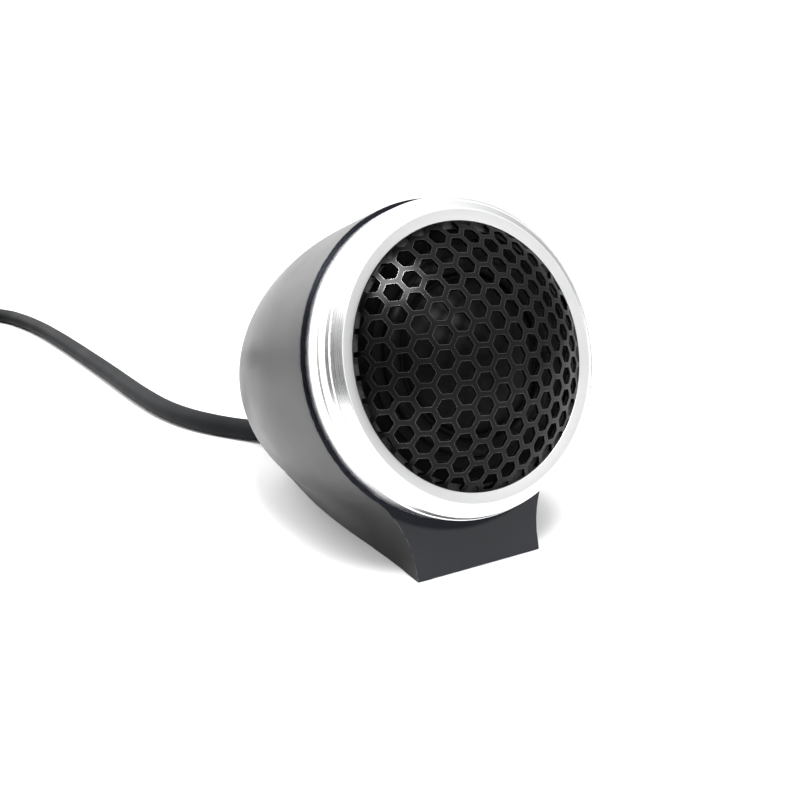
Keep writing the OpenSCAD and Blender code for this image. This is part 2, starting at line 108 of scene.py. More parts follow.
# ---------------------------------------------------------------- material helpers
class Look:
    """A node material with a Principled surface, and short ways to add detail to it."""

    def __init__(self, name, color, rough, metal=0.0):
        self.mat = bpy.data.materials.new(name)
        self.mat.use_nodes = True
        self.tree = self.mat.node_tree
        self.bsdf = self.tree.nodes["Principled BSDF"]
        self.set("Base Color", (*color, 1))
        self.set("Roughness", rough)
        self.set("Metallic", metal)
        self.coords = self.tree.nodes.new("ShaderNodeTexCoord").outputs["Object"]
        self.height = None

    def set(self, name, value):
        self.bsdf.inputs[name].default_value = value

    def link(self, out, to):
        self.tree.links.new(out, to)

    def scaled(self, size):
        """Coordinates in which one unit is this many millimetres."""
        n = self.tree.nodes.new("ShaderNodeVectorMath")
        n.operation = "MULTIPLY"
        self.link(self.coords, n.inputs[0])
        each = size if isinstance(size, tuple) else (size, size, size)
        n.inputs[1].default_value = [1 / (s * MM) for s in each]
        return n.outputs[0]

    def noise(self, size, detail=3.0, rough=0.5, coords=None):
        n = self.tree.nodes.new("ShaderNodeTexNoise")
        self.link(coords if coords is not None else self.scaled(size), n.inputs["Vector"])
        n.inputs["Scale"].default_value = 1.0
        n.inputs["Detail"].default_value = detail
        n.inputs["Roughness"].default_value = rough
        return n.outputs["Fac"]

    def cells(self, size):
        n = self.tree.nodes.new("ShaderNodeTexVoronoi")
        self.link(self.scaled(size), n.inputs["Vector"])
        n.inputs["Scale"].default_value = 1.0
        return n.outputs["Distance"]

    def math(self, op, a, b=None, c=None):
        n = self.tree.nodes.new("ShaderNodeMath")
        n.operation = op
        for i, v in enumerate((a, b, c)):
            if v is None:
                continue
            if isinstance(v, (int, float)):
                n.inputs[i].default_value = v
            else:
                self.link(v, n.inputs[i])
        return n.outputs[0]

    def between(self, fac, low, high, from_low=0.0, from_high=1.0):
        n = self.tree.nodes.new("ShaderNodeMapRange")
        self.link(fac, n.inputs["Value"])
        n.inputs["From Min"].default_value = from_low
        n.inputs["From Max"].default_value = from_high
        n.inputs["To Min"].default_value = low
        n.inputs["To Max"].default_value = high
        return n.outputs["Result"]

    def mix(self, fac, a, b):
        n = self.tree.nodes.new("ShaderNodeMix")
        n.data_type = "RGBA"
        self.link(fac, n.inputs["Factor"])
        for name, v in (("A", a), ("B", b)):
            socket = [s for s in n.inputs if s.name == name and s.type == "RGBA"][0]
            if isinstance(v, tuple):
                socket.default_value = (*v, 1)
            else:
                self.link(v, socket)
        return [s for s in n.outputs if s.type == "RGBA"][0]

    def color(self, out):
        self.link(out, self.bsdf.inputs["Base Color"])

    def rough(self, out):
        self.link(out, self.bsdf.inputs["Roughness"])

    def bump(self, height, depth, strength=1.0):
        n = self.tree.nodes.new("ShaderNodeBump")
        n.inputs["Distance"].default_value = depth * MM
        n.inputs["Strength"].default_value = strength
        self.link(height, n.inputs["Height"])
        if self.height is not None:
            self.link(self.height, n.inputs["Normal"])
        self.height = n.outputs["Normal"]
        self.link(self.height, self.bsdf.inputs["Normal"])

    def edges(self, width, low, high):
        """Near one within this many millimetres of an edge, and none elsewhere."""
        soft = self.tree.nodes.new("ShaderNodeBevel")
        soft.samples = 4
        soft.inputs["Radius"].default_value = width * MM
        sharp = self.tree.nodes.new("ShaderNodeNewGeometry").outputs["True Normal"]
        return self.between(self.dot(soft.outputs["Normal"], sharp), 1.0, 0.0, low, high)

    def split(self, vector):
        n = self.tree.nodes.new("ShaderNodeSeparateXYZ")
        self.link(vector, n.inputs[0])
        return n.outputs

    def along(self, direction, start):
        """How far the surface lies along this direction from this point, in millimetres."""
        direction = Vector(direction)
        return self.math("ADD", self.dot(self.scaled(1.0), direction), -direction.dot(start) / MM)

    def dot(self, a, b):
        n = self.tree.nodes.new("ShaderNodeVectorMath")
        n.operation = "DOT_PRODUCT"
        for socket, v in zip(n.inputs, (a, b)):
            if isinstance(v, Vector):
                socket.default_value = v
            else:
                self.link(v, socket)
        return n.outputs["Value"]

    def radius(self, size):
        """Distance from the object's z axis, in units of this many millimetres."""
        xyz = self.split(self.scaled(size))
        return self.hypot(xyz[0], xyz[1])

    def hypot(self, a, b):
        return self.math("SQRT", self.math("ADD", self.math("MULTIPLY", a, a), self.math("MULTIPLY", b, b)))

    def turning_lines(self):
        """A coordinate that changes only with the distance from the object's z axis and along it."""
        xyz = self.split(self.scaled(1.0))
        n = self.tree.nodes.new("ShaderNodeCombineXYZ")
        self.link(self.radius(0.12), n.inputs[0])
        self.link(self.math("MULTIPLY", xyz[2], 8.0), n.inputs[1])
        return n.outputs[0]


def plastic(name, color, rough, grain=0.35, depth=0.006):
    k = Look(name, color, rough)
    broad = k.noise(9.0, 2.0)
    fine = k.noise(grain, 2.0)
    patches = k.between(broad, rough - 0.04, rough + 0.05, 0.3, 0.7)
    k.rough(k.math("ADD", patches, k.between(fine, -0.02, 0.03)))
    k.bump(fine, depth, 0.5)
    return k


LOOKS = {}

# Where a look changes over a piece, in millimetres: the first number is where it starts to.
FRONT_FACE = (-0.6, -0.3)
LIP_REACH = (28.0, 28.6)
FLANK_HEIGHT = (9.0, 16.0)
RING_BEVEL_PAINTED_REFLECTION = (23.7, 23.9)
GRILLE_SHADE = (20.4, 21.4)


def make_looks():
    k = Look("pod_satin_black", (0.0035, 0.004, 0.0052), 0.36)
    broad = k.noise(11.0, 3.0)
    fine = k.noise(0.22, 2.0)
    scuff = k.noise((2.2, 0.18, 2.2), 3.0, 0.6)
    k.rough(k.math("ADD", k.between(broad, 0.33, 0.40, 0.3, 0.7), k.between(scuff, 0.0, 0.05, 0.6, 0.8)))
    rubbed = k.between(k.noise(1.6, 4.0, 0.7), 0.0, 1.0, 0.44, 0.62)
    worn = k.math("MULTIPLY", k.edges(0.25, 0.86, 0.97), rubbed)
    k.bump(fine, 0.004, 0.5)
    # Painted shade: the lip round the ring and the low, sideways-facing flanks of the foot are made metallic
    # over the near-black base, so they lose their shine and look darker, as in shade.
    facing = k.split(k.tree.nodes.new("ShaderNodeNewGeometry").outputs["True Normal"])[0]
    sideways = k.between(k.math("ABSOLUTE", facing), 0.0, 1.0, 0.2, 0.7)
    low = k.between(k.split(k.scaled(1.0))[2], 1.0, 0.0, *FLANK_HEIGHT)
    across, up, forward = [k.along(ON_AXIS.to_3x3().col[i], ON_AXIS.translation) for i in range(3)]
    front = k.between(forward, 0.0, 1.0, *FRONT_FACE)
    lip = k.math("MULTIPLY", k.between(k.hypot(across, up), 1.0, 0.0, *LIP_REACH), front)
    flank = k.math("MULTIPLY", sideways, low)
    lip_and_flank_painted_shade = k.math("MAXIMUM", k.math("MULTIPLY", lip, 0.7), k.math("MULTIPLY", flank, 0.88))
    k.link(lip_and_flank_painted_shade, k.bsdf.inputs["Metallic"])
    # Painted reflection: the front face is coloured a bluer black than the rest, a cool reflection painted
    # into it.
    colour_with_front_reflection = k.mix(front, (0.004, 0.004, 0.0042), (0.0035, 0.0045, 0.0085))
    k.color(k.mix(worn, colour_with_front_reflection, (0.15, 0.155, 0.165)))
    k.set("Specular IOR Level", 0.42)
    LOOKS["pod"] = k.mat

    k = Look("ring_turned_aluminium", (0.9, 0.905, 0.91), 0.24, 1.0)
    lines = k.noise(0.06, 2.0, 0.7, k.turning_lines())
    broad = k.noise(6.0, 2.0)
    # Painted reflection: the inner bevel is coloured a darker grey than the rest of the ring, and made
    # rougher, to stand for the darker reflection it shows.
    inner = k.between(k.radius(1.0), 1.0, 0.0, *RING_BEVEL_PAINTED_REFLECTION)
    grain = k.math("ADD", k.between(broad, 0.24, 0.3, 0.3, 0.7), k.between(lines, -0.03, 0.05, 0.3, 0.7))
    k.rough(k.math("ADD", grain, k.between(inner, 0.0, 0.14)))
    k.color(k.mix(inner, k.mix(lines, (0.86, 0.865, 0.875), (0.95, 0.955, 0.96)), (0.6, 0.602, 0.604)))
    k.bump(lines, 0.0016, 0.25)
    LOOKS["ring"] = k.mat

    k = Look("grille_black_coat", (0.004, 0.004, 0.0045), 0.28)
    fine = k.noise(0.25, 2.0)
    broad = k.noise(5.0, 2.0)
    k.rough(k.between(broad, 0.18, 0.28, 0.3, 0.7))
    # Painted highlight: in patches the hole rims are made a brighter metal, 0.15 grey, so they glint against
    # the black coat.
    rim = k.math("MULTIPLY", k.edges(0.17, 0.8, 0.97), k.between(k.noise(1.4, 3.0), 0.35, 1.0, 0.35, 0.6))
    # Painted shade: towards its edge, under the ring, the grille is coloured nearly black and made metallic,
    # so it loses its shine there.
    edge = k.between(k.radius(1.0), 0.0, 1.0, *GRILLE_SHADE)
    web = k.mix(broad, (0.002, 0.002, 0.0022), (0.004, 0.004, 0.0043))
    k.color(k.mix(edge, k.mix(rim, web, (0.15, 0.146, 0.142)), (0.003, 0.003, 0.003)))
    k.link(k.math("MAXIMUM", rim, edge), k.bsdf.inputs["Metallic"])
    k.bump(fine, 0.008, 0.4)
    k.set("Specular IOR Level", 0.11)
    LOOKS["grille"] = k.mat

    k = Look("dome_coated_silk", (0.0015, 0.0015, 0.0017), 0.5)
    xyz = k.split(k.scaled(0.34))
    warp = k.math("SINE", k.math("MULTIPLY", xyz[0], 2 * PI))
    weft = k.math("SINE", k.math("MULTIPLY", xyz[1], 2 * PI))
    k.rough(k.between(k.noise(3.0, 2.0), 0.4, 0.54, 0.3, 0.7))
    k.bump(k.math("MULTIPLY", warp, weft), 0.012, 0.5)
    k.set("Specular IOR Level", 0.1)
    LOOKS["cloth"] = k.mat

    k = plastic("faceplate_black", (0.001, 0.001, 0.0011), 0.5)
    k.set("Specular IOR Level", 0.05)
    LOOKS["plastic"] = k.mat

    k = Look("black_rubber", (0.0018, 0.0018, 0.002), 0.6)
    k.set("Specular IOR Level", 0.1)
    k.rough(k.between(k.noise(2.0, 3.0), 0.52, 0.7, 0.3, 0.7))
    k.bump(k.noise(0.3, 3.0), 0.01, 0.6)
    LOOKS["rubber"] = k.mat

    k = Look("black_foam", (0.02, 0.02, 0.02), 0.9)
    k.bump(k.cells(0.5), 0.12, 0.8)
    k.color(k.mix(k.cells(0.5), (0.012, 0.012, 0.012), (0.035, 0.035, 0.035)))
    LOOKS["foam"] = k.mat

    k = Look("grey_foam", (0.16, 0.16, 0.165), 0.95)
    k.bump(k.cells(1.1), 0.4, 0.9)
    k.color(k.mix(k.cells(1.1), (0.08, 0.08, 0.085), (0.22, 0.22, 0.225)))
    LOOKS["grey_foam"] = k.mat

    k = Look("zinc_plated_steel", (0.62, 0.63, 0.65), 0.3, 1.0)
    k.rough(k.between(k.noise(2.5, 4.0), 0.24, 0.42, 0.3, 0.7))
    k.bump(k.noise(0.2, 2.0), 0.003, 0.5)
    LOOKS["steel"] = k.mat

    k = Look("screw_black_oxide", (0.05, 0.05, 0.055), 0.4, 1.0)
    k.rough(k.between(k.noise(0.6, 3.0), 0.32, 0.5, 0.3, 0.7))
    LOOKS["screw"] = k.mat

    k = Look("copper_wire", (0.85, 0.42, 0.22), 0.3, 1.0)
    k.rough(k.between(k.noise(0.8, 3.0), 0.24, 0.4, 0.3, 0.7))
    k.bump(k.noise((0.1, 0.1, 0.1), 2.0), 0.01, 0.5)
    LOOKS["copper"] = k.mat

    k = Look("amber_film", (0.55, 0.28, 0.07), 0.25)
    k.rough(k.between(k.noise(2.0, 2.0), 0.2, 0.34, 0.3, 0.7))
    LOOKS["film"] = k.mat

    k = Look("phenolic_board", (0.25, 0.12, 0.05), 0.55)
    k.color(k.mix(k.noise((3.0, 0.5, 0.5), 3.0), (0.2, 0.09, 0.035), (0.33, 0.17, 0.075)))
    k.bump(k.noise(0.4, 2.0), 0.01, 0.5)
    LOOKS["board"] = k.mat

    k = Look("tinned_brass", (0.82, 0.72, 0.5), 0.28, 1.0)
    k.rough(k.between(k.noise(1.0, 3.0), 0.22, 0.4, 0.3, 0.7))
    LOOKS["brass"] = k.mat

    k = plastic("blue_sleeve", (0.03, 0.05, 0.22), 0.3, 0.6, 0.01)
    LOOKS["blue"] = k.mat

    k = plastic("cable_jacket", (0.004, 0.0045, 0.0055), 0.62, 0.5, 0.012)
    k.set("Specular IOR Level", 0.12)
    LOOKS["jacket"] = k.mat

    k = plastic("red_insulation", (0.45, 0.02, 0.018), 0.32, 0.4, 0.01)
    LOOKS["red"] = k.mat

    k = plastic("black_insulation", (0.014, 0.014, 0.015), 0.34, 0.4, 0.01)
    LOOKS["black"] = k.mat

    k = Look("hook_and_loop_strap", (0.018, 0.018, 0.019), 0.9)
    k.bump(k.noise((0.12, 0.12, 0.12), 3.0, 0.7), 0.12, 0.9)
    k.set("Sheen Weight", 0.3)
    LOOKS["strap"] = k.mat


make_looks()


# ---------------------------------------------------------------- mesh helpers
def add_object(name, data, look, body, at=None):
    obj = bpy.data.objects.new(name, data)
    bpy.context.scene.collection.objects.link(obj)
    if at is not None:
        obj.matrix_world = at
    if look:
        data.materials.append(LOOKS[look])
    if body:
        bpy.context.view_layer.update()
        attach(obj, body)
    return obj


def mesh_from(name, points, faces, smooth=True):
    mesh = bpy.data.meshes.new(name)
    mesh.from_pydata([tuple(float(c) * MM for c in p) for p in points], [], [tuple(f) for f in faces])
    mesh.validate()
    bm = bmesh.new()
    bm.from_mesh(mesh)
    bmesh.ops.remove_doubles(bm, verts=bm.verts, dist=1e-7)
    bmesh.ops.recalc_face_normals(bm, faces=bm.faces)
    bm.to_mesh(mesh)
    bm.free()
    if smooth:
        mesh.polygons.foreach_set("use_smooth", [True] * len(mesh.polygons))
    return mesh


def softened(points, radii, steps=4):
    """A closed outline with its corners rounded: one radius a corner, 0 for a sharp one."""
    out = []
    n = len(points)
    for i, (p, r) in enumerate(zip(points, radii)):
        p = np.array(p, float)
        if r <= 0:
            out.append(tuple(p))
            continue
        a = np.array(points[i - 1], float) - p
        b = np.array(points[(i + 1) % n], float) - p
        la, lb = np.linalg.norm(a), np.linalg.norm(b)
        a, b = a / la, b / lb
        half = math.acos(max(-1.0, min(1.0, float(a @ b)))) / 2
        cut = min(r / math.tan(half), la * 0.49, lb * 0.49)
        r = cut * math.tan(half)
        centre = p + (a + b) / np.linalg.norm(a + b) * r / math.sin(half)
        start, end = p + a * cut - centre, p + b * cut - centre
        turn = math.atan2(start[0] * end[1] - start[1] * end[0], float(start @ end))
        for k in range(steps + 1):
            t = turn * k / steps
            c, s = math.cos(t), math.sin(t)
            out.append((centre[0] + c * start[0] - s * start[1], centre[1] + s * start[0] + c * start[1]))
    return out


def turned_faces(outline, segments, closed=True):
    """Points and faces of an outline of (radius, height) spun about z."""
    points = []
    for r, z in outline:
        for k in range(segments):
            t = 2 * PI * k / segments
            points.append((r * math.cos(t), r * math.sin(t), z))
    rows = len(outline)
    faces = []
    for i in range(rows if closed else rows - 1):
        j = (i + 1) % rows
        for k in range(segments):
            m = (k + 1) % segments
            faces.append((i * segments + k, i * segments + m, j * segments + m, j * segments + k))
    return points, faces


def turned(name, outline, radii, look, body, segments=192, steps=4, at=ON_AXIS):
    points, faces = turned_faces(softened(outline, radii, steps), segments)
    mesh = mesh_from(name, points, faces)
    sharp_by_angle(mesh, 40)
    return add_object(name, mesh, look, body, at)


def sharp_by_angle(mesh, degrees):
    mesh.set_sharp_from_angle(angle=math.radians(degrees))


def tube(name, path, radius, look, body, at=None, sides=6):
    """A round wire as a smooth curve through the points, in millimetres."""
    data = bpy.data.curves.new(name, "CURVE")
    data.dimensions = "3D"
    data.bevel_depth = radius * MM
    data.bevel_resolution = sides
    data.use_fill_caps = True
    data.resolution_u = 10
    line = data.splines.new("BEZIER")
    line.bezier_points.add(len(path) - 1)
    for p, b in zip(path, line.bezier_points):
        b.co = [c * MM for c in p]
        b.handle_left_type = b.handle_right_type = "AUTO"
    return add_object(name, data, look, body, at)


# ---------------------------------------------------------------- free cable
CABLE_R = 2.4
CABLE_ROUTE = [
    (0, 17, 5), (0, 24, 5), (0, 31, 5), (0, 37, 5),
    (-1.2, 42.5, 4.2), (-4, 48, 2.9), (-8, 54.5, 2.4), (-12.4, 62, 2.4),
    (-15.5, 70, 2.4), (-17.6, 80, 2.4), (-18.6, 92, 2.4), (-19, 105, 2.4),
    (-19.2, 120, 2.4), (-19.6, 138, 2.4), (-20.2, 158, 2.4), (-21, 178, 2.4),
    (-22.4, 198, 2.4), (-24.7, 214, 2.4), (-28.3, 227, 2.4), (-33.2, 234.4, 2.4),
    (-40.8, 238.8, 2.4), (-50.6, 239.6, 2.4),
]
COIL_AT = (-63, 213)
COIL_OUT, COIL_IN = 26.5, 21.7
COIL_LOW, COIL_HIGH = 2.4, 7.2
COIL_TURNS = 3.25
CABLE_END = [
    (-89.5, 206, 7.1), (-89, 199, 6.2), (-87.8, 191, 4.6),
    (-86.2, 183, 3.4), (-84.6, 176, 3), (-84, 172, 3), (-84, 168, 3),
]


def ease(x, a, b):
    t = min(1.0, max(0.0, (x - a) / (b - a)))
    return t * t * (3 - 2 * t)


def coil_point(turn):
    """Four places in the bundle, one after the other: low outer, low inner, high inner, high outer."""
    inwards = ease(turn, 250 / 360, 330 / 360) - ease(turn, 2 + 130 / 360, 2 + 190 / 360)
    upwards = ease(turn, 1 + 190 / 360, 1 + 250 / 360)
    r = COIL_OUT + (COIL_IN - COIL_OUT) * inwards
    z = COIL_LOW + (COIL_HIGH - COIL_LOW) * upwards
    a = PI / 2 + 2 * PI * turn
    return (COIL_AT[0] + r * math.cos(a), COIL_AT[1] + r * math.sin(a), z)


coil_steps = 20
coil_path = [coil_point(k / coil_steps) for k in range(int(COIL_TURNS * coil_steps) + 1)]
whole_path = CABLE_ROUTE + coil_path + CABLE_END
cable = tube("speaker_cable", whole_path, CABLE_R, "jacket", "pod", sides=8)


def curve_length(obj):
    line = obj.data.splines[0].bezier_points
    total = 0.0
    for a, b in zip(line[:-1], line[1:]):
        last = a.co.copy()
        for k in range(1, 13):
            t = k / 12
            p = (
                a.co * (1 - t) ** 3
                + a.handle_right * 3 * t * (1 - t) ** 2
                + b.handle_left * 3 * t * t * (1 - t)
                + b.co * t**3
            )
            total += (p - last).length
            last = p
    return total


bpy.context.view_layer.update()
print("cable length", curve_length(cable))
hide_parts("cable", "cable_coil")

# ---------------------------------------------------------------- pod and foot
HALF_STEPS = 96
SIDE_STEPS = 36


def to_row(points):
    p = np.asarray(points, float)
    return np.stack(
        [
            p[..., 0],
            -FRONT_Y + AXIS_Y * p[..., 1] - AXIS_Z * p[..., 2],
            FRONT_H + AXIS_Z * p[..., 1] + AXIS_Y * p[..., 2],
        ],
        axis=-1,
    )


def pod_radius(s, inset=0.0):
    s = np.asarray(s, float)
    side = POD_SIDE_R - inset
    tail = TAIL_R - inset
    front = POD_R - inset
    join = POD_STRAIGHT + side * math.sin(JOIN_ANGLE)
    arc = front - side + np.sqrt(np.maximum(side**2 - (s - POD_STRAIGHT) ** 2, 0))
    cap = np.sqrt(np.maximum(tail**2 - (s - TAIL_C) ** 2, 0))
    return np.where(s < POD_STRAIGHT, front, np.where(s < join, arc, cap))


def pod_gap(r, s):
    dr, ds = r - (POD_R - POD_SIDE_R), s - POD_STRAIGHT
    side = np.hypot(dr, ds) - POD_SIDE_R
    tail = np.hypot(r, s - TAIL_C) - TAIL_R
    rim = RIM_FLARE * (1 - smooth_step(s / RIM_FLARE_L))
    return np.where(s < POD_STRAIGHT, r - POD_R, np.where(np.arctan2(ds, dr) < JOIN_ANGLE, side, tail)) - rim


def round_union(a, b, k):
    return np.maximum(k, np.minimum(a, b)) - np.hypot(np.maximum(k - a, 0), np.maximum(k - b, 0))


def round_overlap(a, b, k):
    return np.minimum(-k, np.maximum(a, b)) + np.hypot(np.maximum(k + a, 0), np.maximum(k + b, 0))


def smooth_step(t):
    t = np.clip(t, 0, 1)
    return t * t * (3 - 2 * t)


def shell_gap(p):
    """Below zero inside the pod and foot, above zero outside, in the tweeter's own frame."""
    x, y, s = np.abs(p[..., 0]), p[..., 1], -p[..., 2]
    row = to_row(p)
    pod = pod_gap(np.hypot(x, y), s)
    reach = pod_radius(s) + FLANK_R
    centre_y = -31.0 + 0.1 * s
    for _ in range(3):
        half = FOOT_MID_HALF - FOOT_TAPER * (-FRONT_Y + AXIS_Y * centre_y + AXIS_Z * s)
        centre_x = half + FLANK_R
        centre_y = -np.sqrt(np.maximum(reach**2 - centre_x**2, 1.0))
    hollow = FLANK_R - np.hypot(x - centre_x, y - centre_y)
    side = np.where(y > centre_y, hollow, x - half)
    beyond = np.arctan2(x, -y) > np.arctan2(centre_x, -centre_y)
    foot = round_overlap(side, row[..., 1] - FOOT_REAR, FOOT_CORNER_R)
    foot = np.where(beyond, 50.0, foot)
    blend = 0.02 + 2.2 * smooth_step((row[..., 1] - 22) / 7)
    return np.maximum(round_union(pod, foot, blend), -row[..., 2])


def last_inside(start, way, far=62.0, steps=250):
    """How far along each way from start the surface lies."""
    t = np.linspace(0, far, steps)
    inside = shell_gap(start[..., None, :] + way[..., None, :] * t[:, None]) < 0
    first_out = np.argmax(~inside, axis=-1)
    low, high = t[np.maximum(first_out - 1, 0)], t[first_out]
    for _ in range(30):
        mid = (low + high) / 2
        out = shell_gap(start + way * mid[..., None]) >= 0
        low, high = np.where(out, low, mid), np.where(out, mid, high)
    return (low + high) / 2


def half_ring(centre, down, aligned, floor_angle):
    """Points round one half of a section, from +X by way of down to -X."""
    even = np.linspace(0, PI, HALF_STEPS + 1)
    split = np.concatenate(
        [
            np.linspace(0, floor_angle, SIDE_STEPS + 1),
            np.linspace(floor_angle, PI - floor_angle, HALF_STEPS - 2 * SIDE_STEPS + 1)[1:-1],
            np.linspace(PI - floor_angle, PI, SIDE_STEPS + 1),
        ]
    )
    angle = even + (split - even) * aligned
    way = np.cos(angle)[:, None] * np.array([1.0, 0, 0]) + np.sin(angle)[:, None] * down
    start = np.broadcast_to(centre, way.shape)
    return start + way * last_inside(start, way)[:, None], angle


def floor_corner_angle(centre, down):
    """The angle from +X, in this half section, at which the foot's side meets the floor."""
    height = to_row(centre)[2]
    drop = (to_row(centre + down) - to_row(centre))[2]
    depth = -height / drop
    x = np.linspace(2, 20, 400)
    line = centre + down * (depth * 0.9995) + x[:, None] * np.array([1.0, 0, 0])
    inside = shell_gap(line) < 0
    return math.atan2(depth, x[np.argmax(~inside)])


def shell_rings():
    """The outer surface as rings round the axis, then as half rings over the tail."""
    down, up = np.array([0, -1.0, 0]), np.array([0, 1.0, 0])
    rings = []
    for s in np.concatenate([[0.0], np.linspace(0.5, TAIL_C, 52)]):
        centre = np.array([0, 0, -s])
        low, _ = half_ring(centre, down, 1.0, floor_corner_angle(centre, down))
        high, _ = half_ring(centre, up, 0.0, 1.0)
        rings.append(np.concatenate([low, high[::-1][1:-1]]))
    centre = np.array([0, 0, -TAIL_C])
    row = to_row(centre)
    edge = TILT + math.atan2(FOOT_REAR - row[1], row[2])
    tail = []
    turns = np.concatenate(
        [np.linspace(0, edge, 22), edge + np.linspace(0, 0.5, 21)[1:], np.linspace(edge + 0.5, PI, 56)[1:]]
    )
    floor_angle = 1.0
    for t in turns:
        way = np.array([0, -math.cos(t), -math.sin(t)])
        if t <= edge + 1e-9:
            floor_angle = floor_corner_angle(centre, way)
        aligned = 1.0 if t <= edge + 0.5 else 1 - smooth_step((t - edge - 0.5) / (PI - edge - 0.5))
        tail.append(half_ring(centre, way, float(aligned), floor_angle)[0])
    return rings, tail


def build_shell():
    rings, tail = shell_rings()
    points, faces = [], []

    def add(ring):
        first = len(points)
        points.extend(ring)
        return list(range(first, first + len(ring)))

    def bridge(a, b, loop=True):
        n = len(a)
        for k in range(n if loop else n - 1):
            m = (k + 1) % n
            faces.append((a[k], a[m], b[m], b[k]))

    outer = [add(r) for r in rings]
    for a, b in zip(outer[:-1], outer[1:]):
        bridge(a, b)
    last = outer[-1]
    lines = [last[: HALF_STEPS + 1]] + [add(t) for t in tail[1:-1]]
    lines.append([last[0]] + last[: HALF_STEPS - 1 : -1])
    for a, b in zip(lines[:-1], lines[1:]):
        bridge(a, b, loop=False)
    # the front face, the spigot, and the hollow inside
    turn = np.arctan2(rings[0][:, 1], rings[0][:, 0])

    def circle(r, z):
        return add(np.stack([r * np.cos(turn), r * np.sin(turn), np.full_like(turn, z)], axis=-1))

    inner = [outer[0], circle(SPIGOT_R, 0.0), circle(SPIGOT_R, SPIGOT_TOP), circle(SPIGOT_BORE, SPIGOT_TOP)]
    inner += [circle(SPIGOT_BORE, -SPIGOT_DEPTH), circle(POD_R - WALL, -SPIGOT_DEPTH)]
    for s in np.concatenate([np.linspace(8, 50, 22), np.linspace(51.5, POD_L - WALL - 0.02, 9)]):
        inner.append(circle(float(pod_radius(s, WALL)), -s))
    for a, b in zip(inner[:-1], inner[1:]):
        bridge(a, b)
    faces.append(tuple(inner[-1]))
    return mesh_from("pod_shell", to_row(np.array(points)), faces)


def prism(name, outline, z0, z1, at=None):
    """A cutter: an outline in X and Y, from z0 to z1, in millimetres."""
    n = len(outline)
    points = [(x, y, z0) for x, y in outline] + [(x, y, z1) for x, y in outline]
    faces = [tuple(range(n)), tuple(range(2 * n - 1, n - 1, -1))]
    faces += [(k, (k + 1) % n, n + (k + 1) % n, n + k) for k in range(n)]
    obj = bpy.data.objects.new(name, mesh_from(name, points, faces, smooth=False))
    bpy.context.scene.collection.objects.link(obj)
    if at is not None:
        obj.matrix_world = at
    return obj


def round_outline(r, n=48):
    return [(r * math.cos(2 * PI * k / n), r * math.sin(2 * PI * k / n)) for k in range(n)]


def baked(obj):
    """Applies the object's modifiers to its mesh."""
    mesh = mesh_of(obj)
    obj.modifiers.clear()
    obj.data = mesh


def mesh_of(obj):
    """A new mesh with the object's evaluated shape."""
    bpy.context.view_layer.update()
    return bpy.data.meshes.new_from_object(obj.evaluated_get(bpy.context.evaluated_depsgraph_get()))


def cut_out(obj, cutters):
    for c in cutters:
        m = obj.modifiers.new("cut", "BOOLEAN")
        m.operation = "DIFFERENCE"
        m.solver = "EXACT"
        m.object = c
    baked(obj)
    for c in cutters:
        bpy.data.objects.remove(c)


def rounded_edges(obj, width, angle=35, segments=3):
    m = obj.modifiers.new("soft edges", "BEVEL")
    m.width = width * MM
    m.segments = segments
    m.limit_method = "ANGLE"
    m.angle_limit = math.radians(angle)
    m.harden_normals = True
    m.use_clamp_overlap = True


SHELL_ROUND = 0.5
LIP_SHARE = 0.28
BASE_SHARE = 0.12
OTHER_SHARE = 0.6


def round_by_place(obj):
    """Rounds the shell's sharp edges: least at the lip, most up the sides of the foot's front."""
    bm = bmesh.new()
    bm.from_mesh(obj.data)
    weight = bm.edges.layers.float.new("bevel_weight_edge")
    to_axis = ON_AXIS.inverted()
    for edge in bm.edges:
        if len(edge.link_faces) != 2 or edge.calc_face_angle(0) < math.radians(35):
            continue
        mid = (edge.verts[0].co + edge.verts[1].co) / 2
        own = to_axis @ mid
        on_front = abs(own.z) < 0.2 * MM
        if mid.z < 0.15 * MM:
            edge[weight] = BASE_SHARE
        elif on_front and own.y < -24.5 * MM and abs(own.x) > 11 * MM:
            edge[weight] = 1.0
        elif on_front:
            edge[weight] = LIP_SHARE
        else:
            edge[weight] = OTHER_SHARE
    bm.to_mesh(obj.data)
    bm.free()
    m = obj.modifiers.new("soft edges", "BEVEL")
    m.width = SHELL_ROUND * MM
    m.segments = 3
    m.limit_method = "WEIGHT"
    m.harden_normals = True
    m.use_clamp_overlap = True


PAD_T = 0.8
PAD = [(-7.5, -27), (7.5, -27), (9.5, -25), (7.5, 24), (5.5, 26), (-5.5, 26), (-7.5, 24), (-9.5, -25)]
SCREWS_Y = (-16, 4)
OUTLET_Z = 5
shell = bpy.data.objects.new("pod_shell", build_shell())
bpy.context.scene.collection.objects.link(shell)
shell.data.materials.append(LOOKS["pod"])
POINT_BACK = Matrix.Rotation(-PI / 2, 4, "X")
outlet_at = Matrix.Translation(Vector((0, FOOT_REAR, OUTLET_Z)) * MM) @ POINT_BACK
cutters = [prism("recess", PAD, -1, PAD_T), prism("outlet", round_outline(3.0), -4.5, 3, outlet_at)]
cutters.append(prism("outlet_bore", round_outline(2.46), -15, 0, outlet_at))
for y in SCREWS_Y:
    cutters.append(prism("screw_hole", round_outline(1.25, 32), -1, 7.3, Matrix.Translation((0, y * MM, 0))))
cut_out(shell, cutters)
sharp_by_angle(shell.data, 35)
round_by_place(shell)
bpy.context.view_layer.update()
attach(shell, "pod")
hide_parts("housing")

# Foam pad under the foot
pad = prism("foam_pad", [(x * 0.99, y * 0.995) for x, y in PAD], 0.01, PAD_T - 0.01)
pad.data.materials.append(LOOKS["foam"])
cut_out(pad, [prism("hole", round_outline(2.6), -1, 2, Matrix.Translation((0, y * MM, 0))) for y in SCREWS_Y])
rounded_edges(pad, 0.12, segments=2)
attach(pad, "pod")
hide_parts("mounting_pad")

